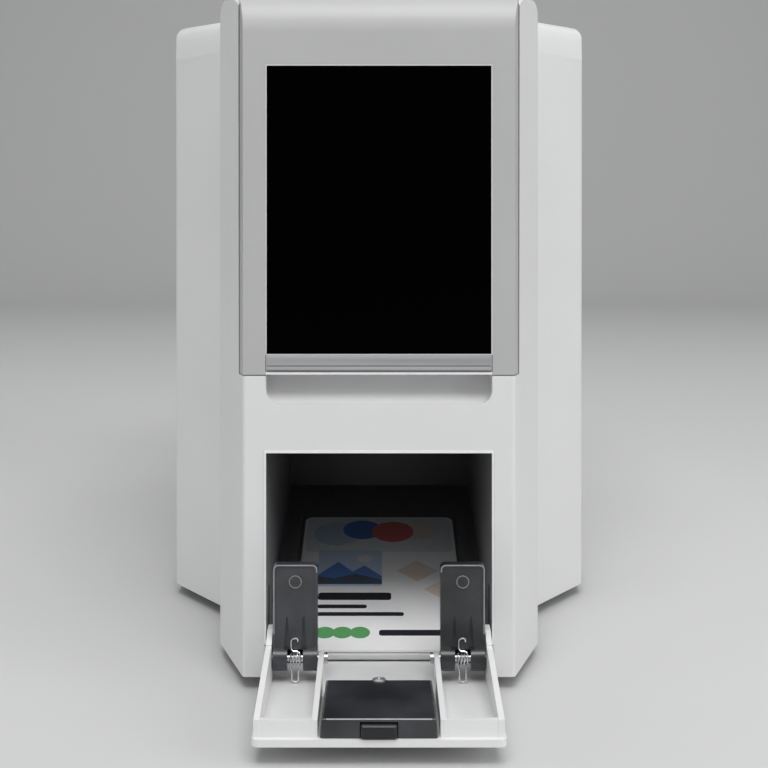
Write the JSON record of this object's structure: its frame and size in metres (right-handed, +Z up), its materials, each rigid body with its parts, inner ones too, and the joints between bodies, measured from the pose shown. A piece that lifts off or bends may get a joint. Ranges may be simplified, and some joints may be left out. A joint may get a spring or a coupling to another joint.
{
  "type": "card printer",
  "caption": "Slim desktop card printer: white shells, grey lifting hood with a black window, open output door with sprung card stops, card in a sloping tray.",
  "frame": {"origin": "centre of the bounding box on the table under the feet", "axes": "+X to the right seen from the front, +Y towards the rear panel, +Z up"},
  "size_m": [0.1552, 0.396, 0.217],
  "materials": {
    "white_shell": "fine texture",
    "grey_hood": "satin",
    "black_panel": "polished",
    "bright_trim": "brushed",
    "dark_plastic": "fine texture",
    "grey_plastic": "moulded",
    "rubber": "matt",
    "steel": "turned",
    "zinc_plate": "zinc plated",
    "cast_alloy": "cast",
    "bronze": "sintered",
    "card": "printed and laminated",
    "blank_card": "polished",
    "ribbon": "film",
    "board": "solder mask"
  },
  "bodies": {
    "printer": {"base_plate": "zinc_plate", "rubber_feet": "rubber", "front_shell": "white_shell", "left_side_cover": "white_shell", "right_side_cover": "white_shell", "top_cover": "white_shell", "rear_panel": "white_shell", "hood_hinge_pins": "steel", "lid_hinge_pin": "steel", "input_hopper": "grey_plastic", "blank_cards": "blank_card", "output_tray": "dark_plastic", "tray_lip": "white_shell", "printed_card": "card", "door_hinge_pins": "steel", "left_frame_plate": "zinc_plate", "right_frame_plate": "zinc_plate", "frame_tie_rods": "steel", "shaft_bushings": "bronze", "drive_belt": "rubber", "stepper_motor": "cast_alloy", "head_guide": "zinc_plate", "ribbon_film": "ribbon", "main_board": "board", "power_supply": "zinc_plate", "power_inlet": "dark_plastic", "usb_socket": "steel", "fan_frame": "dark_plastic", "cover_screws": "steel"},
    "hood": {"hood": "grey_hood", "display_glass": "black_panel", "trim_bar": "bright_trim"},
    "door": {"output_door": "white_shell", "stop_pins": "steel", "latch_housing": "dark_plastic", "latch_screw": "steel", "left_stop_spring": "steel", "right_stop_spring": "steel"},
    "left_stop": {"left_card_stop": "dark_plastic"},
    "right_stop": {"right_card_stop": "dark_plastic"},
    "bolt": {"latch_bolt": "dark_plastic"},
    "lid": {"hopper_lid": "white_shell"},
    "weight": {"card_weight": "grey_plastic"},
    "head": {"print_head": "cast_alloy"},
    "platen": {"platen_roller": "rubber"},
    "exit": {"exit_roller": "rubber"},
    "feed": {"feed_roller": "rubber"},
    "pick": {"pick_roller": "rubber"},
    "upper_feed": {"upper_feed_roller": "steel"},
    "upper_exit": {"upper_exit_roller": "steel"},
    "motor_shaft": {"motor_pulley": "steel"},
    "takeup": {"takeup_spool": "ribbon"},
    "supply": {"supply_spool": "ribbon"},
    "rotor": {"fan_rotor": "dark_plastic"},
    "rocker": {"power_switch": "dark_plastic"}
  },
  "joints": [
    {"name": "hood_hinge", "type": "hinge", "parent": "printer", "child": "hood", "pos_m": [0, 0.064, 0.208], "axis": [-1, 0, 0], "range_deg": [0, 65]},
    {"name": "door_hinge", "type": "hinge", "parent": "printer", "child": "door", "pos_m": [0, -0.137, 0.0105], "axis": [1, 0, 0], "range_deg": [-90, 0]},
    {"name": "left_stop_hinge", "type": "hinge", "parent": "door", "child": "left_stop", "pos_m": [-0.02445, -0.155, 0.0143], "axis": [1, 0, 0], "range_deg": [0, 88], "stiffness_Nm_per_rad": 0.01, "springref_deg": -28.65, "deforming": ["left_stop_spring"]},
    {"name": "right_stop_hinge", "type": "hinge", "parent": "door", "child": "right_stop", "pos_m": [0.02445, -0.155, 0.0143], "axis": [1, 0, 0], "range_deg": [0, 88], "stiffness_Nm_per_rad": 0.01, "springref_deg": -28.65, "deforming": ["right_stop_spring"]},
    {"name": "latch_slide", "type": "slide", "parent": "door", "child": "bolt", "axis": [0, -1, 0], "range_m": [-0.0015, 0], "stiffness_N_per_m": 150},
    {"name": "lid_hinge", "type": "hinge", "parent": "printer", "child": "lid", "pos_m": [0, 0.186, 0.213], "axis": [-1, 0, 0], "range_deg": [0, 90]},
    {"name": "weight_slide", "type": "slide", "parent": "printer", "child": "weight", "axis": [0, 0, 1], "range_m": [0, 0.06]},
    {"name": "head_lift", "type": "slide", "parent": "printer", "child": "head", "axis": [0, 0, 1], "range_m": [0, 0.002]},
    {"name": "platen_spin", "type": "hinge", "parent": "printer", "child": "platen", "pos_m": [0, 0.018, 0.05812], "axis": [1, 0, 0], "continuous": true},
    {"name": "exit_spin", "type": "hinge", "parent": "printer", "child": "exit", "pos_m": [0, -0.012, 0.05812], "axis": [1, 0, 0], "continuous": true},
    {"name": "feed_spin", "type": "hinge", "parent": "printer", "child": "feed", "pos_m": [0, 0.05, 0.05812], "axis": [1, 0, 0], "continuous": true},
    {"name": "pick_spin", "type": "hinge", "parent": "printer", "child": "pick", "pos_m": [0, 0.104, 0.05812], "axis": [1, 0, 0], "continuous": true},
    {"name": "upper_feed_spin", "type": "hinge", "parent": "printer", "child": "upper_feed", "pos_m": [0, 0.05, 0.07188], "axis": [1, 0, 0], "continuous": true},
    {"name": "upper_exit_spin", "type": "hinge", "parent": "printer", "child": "upper_exit", "pos_m": [0, -0.012, 0.07188], "axis": [1, 0, 0], "continuous": true},
    {"name": "motor_spin", "type": "hinge", "parent": "printer", "child": "motor_shaft", "pos_m": [0.045, 0.043, 0.032], "axis": [1, 0, 0], "continuous": true},
    {"name": "takeup_spin", "type": "hinge", "parent": "printer", "child": "takeup", "pos_m": [0, -0.026, 0.0995], "axis": [1, 0, 0], "continuous": true},
    {"name": "supply_spin", "type": "hinge", "parent": "printer", "child": "supply", "pos_m": [0, 0.062, 0.0995], "axis": [1, 0, 0], "continuous": true},
    {"name": "fan_spin", "type": "hinge", "parent": "printer", "child": "rotor", "pos_m": [0, 0.188, 0.034], "axis": [0, 1, 0], "continuous": true},
    {"name": "switch_rock", "type": "hinge", "parent": "printer", "child": "rocker", "pos_m": [0.057, 0.1875, 0.052], "axis": [1, 0, 0], "range_deg": [-8, 8]}
  ],
  "couplings": [
    {"joint": "exit_spin", "follows": "platen_spin", "ratio": 1},
    {"joint": "feed_spin", "follows": "platen_spin", "ratio": 1},
    {"joint": "pick_spin", "follows": "platen_spin", "ratio": 1},
    {"joint": "motor_spin", "follows": "platen_spin", "ratio": 1},
    {"joint": "upper_feed_spin", "follows": "platen_spin", "ratio": -1.1667},
    {"joint": "upper_exit_spin", "follows": "platen_spin", "ratio": -1.1667},
    {"joint": "supply_spin", "follows": "takeup_spin", "ratio": 0.5333}
  ]
}
